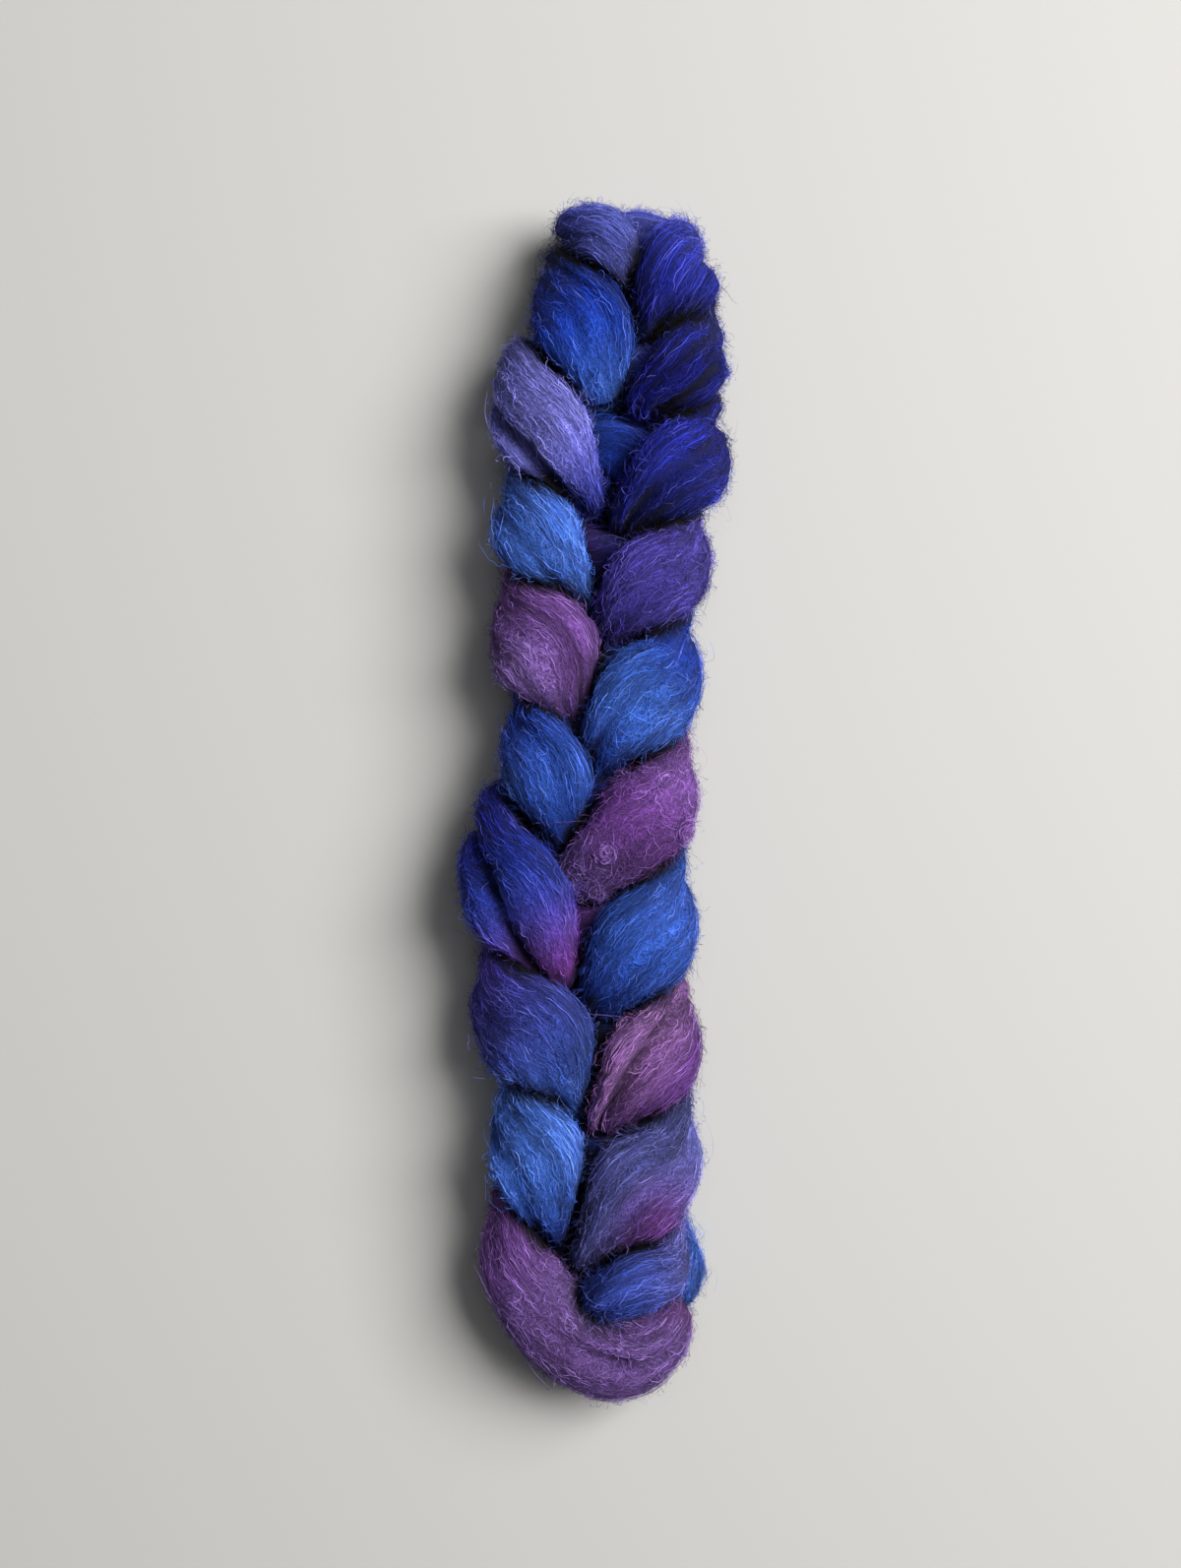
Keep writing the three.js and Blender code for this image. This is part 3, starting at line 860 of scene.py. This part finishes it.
def ribbons(name, paths, flat, wide, colours):
    """Fibres as one mesh: a narrow ribbon along each path, tapered to both ends."""
    fibres, steps, _ = paths.shape
    travel = np.gradient(paths, axis=1)
    side = unit(np.cross(unit(travel), flat))
    taper = np.sin(np.linspace(TAPER_FROM, np.pi - TAPER_FROM, steps)) ** TAPER_POWER
    half = (wide[:, None] / 2 * taper)[..., None]
    points = np.stack([paths - side * half, paths + side * half], axis=2)
    points[..., 2] = np.maximum(points[..., 2], RIBBON_LOWEST)
    strip = grid_quads(steps, 2)
    quads = strip[None] + (np.arange(fibres) * steps * 2)[:, None, None]
    # The map: each fibre has a narrow cell of its own.
    cell = np.arange(fibres)[:, None, None] % (CELLS_ACROSS * CELLS_UP)
    corner = strip % 2
    step = strip // 2
    u = (cell % CELLS_ACROSS + between(CELL_LONG, step / (steps - 1))) / CELLS_ACROSS
    v = (cell // CELLS_ACROSS + between(CELL_WIDE, corner)) / CELLS_UP
    uvs = np.stack(np.broadcast_arrays(u, v), axis=-1).reshape(-1, 2)
    shades = np.repeat(colours, 2, axis=1).reshape(-1, 3)
    return add_mesh(name, points.reshape(-1, 3), quads.reshape(-1, 4), shades, uvs)


def room_beside(strand, points, run):
    """How far each point is, in millimetres, from any other stretch of the strand."""
    rows = np.arange(0, strand.count, ROOM_EVERY)
    room = np.full(len(points), ROOM_MOST)
    step = np.linalg.norm(np.gradient(strand.middle[rows], axis=0), axis=1)
    for i, row in enumerate(rows):
        near = np.abs(points - strand.middle[row]).max(1) < strand.wide[row] + ROOM_SEARCH
        near &= np.abs(run - strand.run[row]) > SAME_STRETCH
        chosen = np.nonzero(near)[0]
        away = points[chosen] - strand.middle[row]
        x = away @ strand.across[row] / strand.wide[row]
        y = away @ strand.front[row] / strand.thick[row]
        past = np.maximum(np.abs(away @ strand.along[row]) - ROW_REACH * step[i], 0)
        size = (np.abs(x) ** ROUNDNESS + np.abs(y) ** ROUNDNESS) ** (1 / ROUNDNESS)
        gap = (size - 1) * np.minimum(strand.wide[row], strand.thick[row]) + past
        room[chosen] = np.minimum(room[chosen], gap)
    return room


def shaded_by_neighbours(strand, run, room):
    """Painted shade: how much of its brightness a place keeps in the crevice beside another
    stretch.
    """
    dark = PAINTED_CREVICE_SHADE * (1 - strand.at(strand.open, run))
    return 1 - dark * np.exp(-np.maximum(room, 0) / PAINTED_CREVICE_REACH)


def drawn_in(room):
    """How far the surface draws in beside another stretch of the strand."""
    return CREVICE_DEEP * np.exp(-np.maximum(room, 0) / CREVICE_REACH)


def roots_on(strand, dice, count, rim=0.0):
    """Places all over the strand's outside, more of them on its front and, if asked, its sides."""
    wanted = int(count * (ROOT_SPARE + RIM_SPARE * rim))
    run = dice.uniform(0, strand.run[-1], wanted)
    angle = dice.uniform(0, 2 * np.pi, wanted)
    points, out = strand.surface(run, angle)
    sides = dice.random(wanted) < 1 - rim * np.abs(out[:, 2])
    run, angle, points = run[sides], angle[sides], points[sides]
    wanted = len(run)
    room = room_beside(strand, points, run)
    keep = (np.sin(angle) > FRONT_FROM) | (dice.random(wanted) < BACK_SHARE)
    keep &= (points[:, 2] > ROOT_LOWEST) & (room > ROOT_BURIED)
    run, angle, room = run[keep][:count], angle[keep][:count], room[keep][:count]
    # With the painted crevice shade and the drawing in at each place.
    return run, angle, shaded_by_neighbours(strand, run, room), drawn_in(room)


def crimped(dice, fibres, long, steps, swing, crimp, curl):
    """Crimped paths drawn on a flat sheet: how far each has gone along and sideways."""
    t = np.linspace(0, 1, steps + 1)[None]
    phase = dice.uniform(0, 2 * np.pi, (fibres, 1))
    way = swing * np.sin(2 * np.pi * long * t / crimp + phase) + curl * (t - 0.5)
    way += dice.normal(0, CRIMP_STRAY, way.shape)
    stride = long / steps
    ahead = np.cumsum(np.cos(way), axis=1) * stride
    sideways = np.cumsum(np.sin(way), axis=1) * stride
    return t, ahead - ahead[:, :1], sideways - sideways[:, :1]


def fibre_colours(strand, dice, run, angle, shaded, sheen_share):
    """The dye along each fibre, some fibres darker and some paler and greyer than others."""
    fibres = len(run)
    dark = dice.random((fibres, 1)) < DARK_SHARE
    dark_tone = dice.uniform(*DARK_TONE, (fibres, 1))
    tone = np.where(dark, dark_tone, dice.uniform(*LIGHT_TONE, (fibres, 1)))
    # Painted shade from the crevices, the grooves and between the locks, with the wool's uneven
    # tone.
    lit = shaded * strand.brightness(run, angle)
    dye = strand.dye(run, angle)
    colours = shade(dye, lit * tone)
    # Painted sheen: some fibres made paler, greyer and bluish, more so on the deep dyes.
    pale = dice.random((fibres, 1, 1)) < sheen_share
    grey = colours.mean(axis=-1, keepdims=True)
    haze = between(PAINTED_SHEEN_LIGHT, depth_of(dye)) * lit
    haze = haze[..., None] * np.array(PAINTED_SHEEN_TINT)
    return np.where(pale, colours * SHEEN_PALE_GAIN + grey * SHEEN_PALE_GREY + haze, colours)


def combed_fibres(strand, dice, count):
    """Crimped fibres that lie along the strand: their paths, the ways they face, their colours."""
    start, angle, shaded, sunk = roots_on(strand, dice, count)
    fibres = len(start)

    def each(low, high):
        return dice.uniform(low, high, (fibres, 1))

    long = each(*FIBRE_LONG)
    matted = strand.at(strand.matted, start)[:, None]
    loose = dice.random((fibres, 1)) < LOOSE_SHARE + MATTED_SHARE * matted
    curl = np.where(loose, LOOSE_CURL + MATTED_CURL * matted, COMBED_CURL)
    curl = dice.normal(0, 1, (fibres, 1)) * curl
    swing = each(*CRIMP_SWING)
    t, ahead, sideways = crimped(dice, fibres, long, FIBRE_STEPS, swing, each(*CRIMP_LONG), curl)
    heading = np.where(loose, LOOSE_HEADING + matted, COMBED_HEADING)
    heading = dice.normal(0, 1, (fibres, 1)) * heading
    run = start[:, None] + ahead * np.cos(heading) - sideways * np.sin(heading)
    run = np.clip(run, END_GAP, strand.run[-1] - END_GAP)
    aside = ahead * np.sin(heading) + sideways * np.cos(heading)
    radius = np.maximum(strand.at(strand.wide, run) * ROUND_SHARE, ROUND_LEAST)
    turn = angle[:, None] + aside / radius
    lift = each(*FIBRE_LIFT) + dice.gamma(1.0, FIBRE_BOW, (fibres, 1)) * np.sin(np.pi * t)
    raised = dice.random((fibres, 1)) < RAISED_SHARE
    lift = lift + raised * each(*RAISED_HIGH) * np.maximum(2 * t - 1, 0) ** 2
    lift = lift + FIBRE_JITTER * dice.normal(0, 1, lift.shape) - sunk[:, None]
    paths, out = strand.surface(run, turn, lift)
    # Painted crevice shade at the fibre's far end, blended along it from its root.
    ends = room_beside(strand, paths[:, -1], run[:, -1])
    ends = shaded_by_neighbours(strand, run[:, -1], ends)[:, None]
    shaded = shaded[:, None] * (1 - t) + ends * t
    roll = dice.normal(0, FIBRE_ROLL, (fibres, 1, 1))
    beside = np.cross(out, unit(np.gradient(paths, axis=1)))
    flat = unit(out * np.cos(roll) + beside * np.sin(roll))
    colours = fibre_colours(strand, dice, run, turn, shaded, COMBED_SHEEN_SHARE)
    return paths - (*BRAID_MIDDLE, 0), flat, colours


def loose_fibres(strand, dice, count, steps, length, reach, curl):
    """Fine crimped fibres that stand off the surface as a haze."""
    start, angle, shaded, sunk = roots_on(strand, dice, count, LOOSE_RIM)
    fibres = len(start)
    roots, out = strand.surface(start, angle, -sunk)
    beyond, _ = strand.surface(np.minimum(start + 1, strand.run[-1]), angle)
    along = unit(beyond - roots) * dice.choice([-1, 1], (fibres, 1))
    beside = np.cross(out, along)
    heading = dice.normal(0, LOOSE_TURN, (fibres, 1))
    forward = along * np.cos(heading) + beside * np.sin(heading)
    turned = beside * np.cos(heading) - along * np.sin(heading)
    long = dice.uniform(*length, (fibres, 1))
    swing = dice.uniform(*LOOSE_SWING, (fibres, 1))
    crimp = dice.uniform(*LOOSE_CRIMP, (fibres, 1))
    curl = dice.normal(0, curl, (fibres, 1))
    t, ahead, sideways = crimped(dice, fibres, long, steps, swing, crimp, curl)
    high = reach * dice.gamma(2.0, 0.5, (fibres, 1)).clip(*LOOSE_RISE)
    standing = dice.random((fibres, 1)) < STANDING_SHARE
    rise = np.where(standing, t**STANDING_CURVE, np.sin(np.pi * t)) * high
    rise = rise - ahead**2 / LOOSE_DROOP
    paths = roots[:, None] + forward[:, None] * ahead[..., None]
    paths = paths + turned[:, None] * sideways[..., None]
    paths = paths + out[:, None] * rise[..., None]
    flat = np.repeat(unit(dice.normal(0, 1, (fibres, 1, 3))), steps + 1, axis=1)
    places = np.repeat(start[:, None], steps + 1, axis=1)
    angles = np.repeat(angle[:, None], steps + 1, axis=1)
    # The painted crevice shade at the root, softened, for the whole fibre.
    shaded = between(LOOSE_PAINTED_SHADE, shaded[:, None])
    colours = fibre_colours(strand, dice, places, angles, shaded, LOOSE_SHEEN_SHARE)
    return paths - (*BRAID_MIDDLE, 0), flat, colours


def felted_curls(strand, dice):
    """Small felted curls: arcs of fibre wound round one another on the roving's front."""
    all_paths, all_flat, all_colours = [], [], []
    t = np.linspace(0, 1, CURL_STEPS + 1)[None]
    for x, y, radius, height, count in CURLS:
        centre, out, run, angle = strand.front_at(x, y)
        beside = unit(np.cross(out, (0.0, 1.0, 0.0)))
        ahead = np.cross(out, beside)

        def each(low, high):
            return dice.uniform(low, high, (count, 1))

        reach = radius * each(CURL_INNER, 1)
        sweep = each(*CURL_SWEEP) * np.minimum(1, CURL_ARC / reach)
        turn = each(0, 2 * np.pi) + sweep * t
        waves = dice.integers(*CURL_WAVES, (count, 1))
        ripple = 1 + CURL_RIPPLE * np.sin(waves * turn + each(0, CURL_PHASE))
        off = dice.normal(0, CURL_OFF * radius, (count, 2, 1))
        u = reach * ripple * np.cos(turn) + off[:, 0]
        v = reach * ripple * np.sin(turn) + off[:, 1]
        dome = height * (1 - (u**2 + v**2) / (CURL_DOME * radius) ** 2)
        high = dome * each(*CURL_HIGH)
        high = high + each(*CURL_ROCK) * np.sin(CURL_ROCKS * turn)
        path = centre + u[..., None] * beside + v[..., None] * ahead + high[..., None] * out
        dye = strand.dye(np.full(turn.shape, run), np.full(turn.shape, angle))
        dye = dye + CURL_GREY * dye.mean(axis=-1, keepdims=True) + CURL_HAZE
        tone = each(*CURL_TONE) * np.ones_like(t)
        all_paths.append(path - (*BRAID_MIDDLE, 0))
        flat = unit(out + dice.normal(0, CURL_ROLL, (count, 1, 3)))
        all_flat.append(flat * np.ones_like(path))
        all_colours.append(shade(dye, tone))
    return np.concatenate(all_paths), np.concatenate(all_flat), np.concatenate(all_colours)


# Materials ------------------------------------------------------------------------------


def wool_material(name, roughness, streaked):
    """Dyed wool: the dye at each point, dull with a soft sheen, and on the body its fibres."""
    material = bpy.data.materials.new(name)
    material.use_nodes = True
    nodes = material.node_tree.nodes
    link = material.node_tree.links.new
    shader = nodes["Principled BSDF"]
    shader.inputs["Roughness"].default_value = roughness
    shader.inputs["Specular IOR Level"].default_value = SPECULAR
    shader.inputs["Sheen Weight"].default_value = SHEEN
    shader.inputs["Sheen Roughness"].default_value = SHEEN_ROUGHNESS
    dye = nodes.new("ShaderNodeVertexColor")
    dye.layer_name = "dye"
    grain = fibre_grain(nodes, link) if streaked else speckle(nodes, link)
    tone = nodes.new("ShaderNodeMapRange")
    values = BODY_TONES if streaked else FIBRE_TONES
    for socket, value in zip(("From Min", "From Max", "To Min", "To Max"), values):
        tone.inputs[socket].default_value = value
    link(grain, tone.inputs["Value"])
    toned = nodes.new("ShaderNodeVectorMath")
    toned.operation = "SCALE"
    link(dye.outputs["Color"], toned.inputs[0])
    link(tone.outputs["Result"], toned.inputs["Scale"])
    link(toned.outputs["Vector"], shader.inputs["Base Color"])
    if streaked:
        bump = nodes.new("ShaderNodeBump")
        bump.inputs["Strength"].default_value = BUMP_STRENGTH
        bump.inputs["Distance"].default_value = BUMP_HEIGHT
        link(grain, bump.inputs["Height"])
        link(bump.outputs["Normal"], shader.inputs["Normal"])
    return material


def fibre_grain(nodes, link):
    """Fine crimped threads that run along the strand, from 0 between them to 1."""
    comb = nodes.new("ShaderNodeAttribute")
    comb.attribute_name = "comb"

    def vector_math(operation, first, second):
        node = nodes.new("ShaderNodeVectorMath")
        node.operation = operation
        link(first, node.inputs[0])
        if operation == "SCALE":
            node.inputs["Scale"].default_value = second
        elif isinstance(second, tuple):
            node.inputs[1].default_value = second
        else:
            link(second, node.inputs[1])
        return node.outputs["Vector"]

    def noise_of(vector, detail, roughness=0.5):
        node = nodes.new("ShaderNodeTexNoise")
        node.inputs["Scale"].default_value = 1.0
        node.inputs["Detail"].default_value = detail
        node.inputs["Roughness"].default_value = roughness
        link(vector, node.inputs["Vector"])
        return node

    # The crimp and the slow wander push each thread aside.
    moved = comb.outputs["Vector"]
    for stretch, push in (CRIMP_PUSH, WANDER_PUSH):
        pushed = noise_of(vector_math("MULTIPLY", comb.outputs["Vector"], stretch), 1.0)
        pushed = vector_math("SUBTRACT", pushed.outputs["Color"], (0.5, 0.5, 0.5))
        moved = vector_math("ADD", moved, vector_math("SCALE", pushed, push))

    threads = None
    for stretch in THREAD_STRETCHES:
        lines = noise_of(vector_math("MULTIPLY", moved, stretch), 2.0, THREAD_ROUGHNESS)
        middle = nodes.new("ShaderNodeMath")
        middle.operation = "SUBTRACT"
        middle.inputs[1].default_value = 0.5
        link(lines.outputs["Fac"], middle.inputs[0])
        away = nodes.new("ShaderNodeMath")
        away.operation = "ABSOLUTE"
        link(middle.outputs["Value"], away.inputs[0])
        ridge = nodes.new("ShaderNodeMapRange")
        ridge.inputs["From Min"].default_value = 0.0
        ridge.inputs["From Max"].default_value = THREAD_WIDE
        ridge.inputs["To Min"].default_value = 0.5
        ridge.inputs["To Max"].default_value = 0.0
        link(away.outputs["Value"], ridge.inputs["Value"])
        if threads is None:
            threads = ridge.outputs["Result"]
        else:
            both = nodes.new("ShaderNodeMath")
            both.operation = "ADD"
            link(threads, both.inputs[0])
            link(ridge.outputs["Result"], both.inputs[1])
            threads = both.outputs["Value"]
    return threads


def speckle(nodes, link):
    """A light unevenness in a fibre's colour."""
    place = nodes.new("ShaderNodeTexCoord")
    noise_node = nodes.new("ShaderNodeTexNoise")
    noise_node.inputs["Scale"].default_value = SPECKLE_SCALE
    link(place.outputs["Object"], noise_node.inputs["Vector"])
    return noise_node.outputs["Fac"]


def floor_material():
    material = bpy.data.materials.new("pale_floor")
    material.use_nodes = True
    shader = material.node_tree.nodes["Principled BSDF"]
    shader.inputs["Base Color"].default_value = FLOOR_COLOUR
    shader.inputs["Roughness"].default_value = FLOOR_ROUGHNESS
    shader.inputs["Specular IOR Level"].default_value = SPECULAR
    return material


# The scene ------------------------------------------------------------------------------


def add_piece(thing, material):
    thing.data.materials.append(material)
    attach(thing, "root")
    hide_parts("roving")


def add_light(name, place, target, size, power, colour):
    data = bpy.data.lights.new(name, "AREA")
    data.size = size
    data.energy = power
    data.color = colour
    light = bpy.data.objects.new(name, data)
    light.location = place
    aim = Vector(target) - Vector(place)
    light.rotation_euler = aim.to_track_quat("-Z", "Y").to_euler()
    bpy.context.scene.collection.objects.link(light)


def add_stage():
    """A plain pale floor, soft window light from the right and a little fill."""
    bpy.ops.mesh.primitive_plane_add(size=FLOOR_SIZE, location=(0, 0, -FLOOR_DROP))
    floor = bpy.context.object
    floor.name = "floor"
    floor.data.materials.append(floor_material())
    for light in LIGHTS:
        add_light(*light)
    world = bpy.data.worlds.new("room")
    world.use_nodes = True
    background = world.node_tree.nodes["Background"]
    background.inputs["Color"].default_value = ROOM_COLOUR
    background.inputs["Strength"].default_value = ROOM_LIGHT
    bpy.context.scene.world = world
    bpy.context.scene.view_settings.view_transform = "Standard"


def add_camera():
    data = bpy.data.cameras.new("camera")
    camera = bpy.data.objects.new("camera", data)
    camera.location = (
        (PICTURE_MIDDLE[0] - BRAID_MIDDLE[0]) * MM,
        (PICTURE_MIDDLE[1] - BRAID_MIDDLE[1]) * MM,
        CAMERA_UP * MM,
    )
    data.sensor_fit = "VERTICAL"
    data.sensor_height = SENSOR
    data.lens = SENSOR * (CAMERA_UP - CAMERA_FOCUS) / (PICTURE[1] * MM_PER_PIXEL)
    data.clip_start = CLIP_START
    bpy.context.scene.collection.objects.link(camera)
    bpy.context.scene.camera = camera


def main():
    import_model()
    strand = Strand()
    dice = np.random.default_rng(SEED)
    body_wool = wool_material("wool_body", BODY_ROUGHNESS, True)
    fibre_wool = wool_material("wool_fibre", FIBRE_ROUGHNESS, False)
    add_piece(strand_body(strand), body_wool)

    def add_fibres(name, fibres, width):
        paths, flat, colours = fibres
        wide = dice.uniform(*width, len(paths))
        add_piece(ribbons(name, paths, flat, wide, colours), fibre_wool)

    for number in range(1, FIBRE_PIECES + 1):
        fibres = combed_fibres(strand, dice, FIBRES_EACH)
        add_fibres(f"roving_fibres_{number}", fibres, FIBRE_WIDE)
    for number in range(1, FUZZ_PIECES + 1):
        fibres = loose_fibres(strand, dice, FUZZ_EACH, FUZZ_STEPS, FUZZ_LONG, FUZZ_HIGH, FUZZ_CURL)
        add_fibres(f"roving_fuzz_{number}", fibres, FUZZ_WIDE)
    fibres = loose_fibres(
        strand, dice, FLYAWAYS, FLYAWAY_STEPS, FLYAWAY_LONG, FLYAWAY_HIGH, FLYAWAY_CURL
    )
    add_fibres("roving_flyaways", fibres, FLYAWAY_WIDE)
    add_fibres("roving_curls", felted_curls(strand, dice), CURL_WIDE)
    add_stage()
    add_camera()


main()
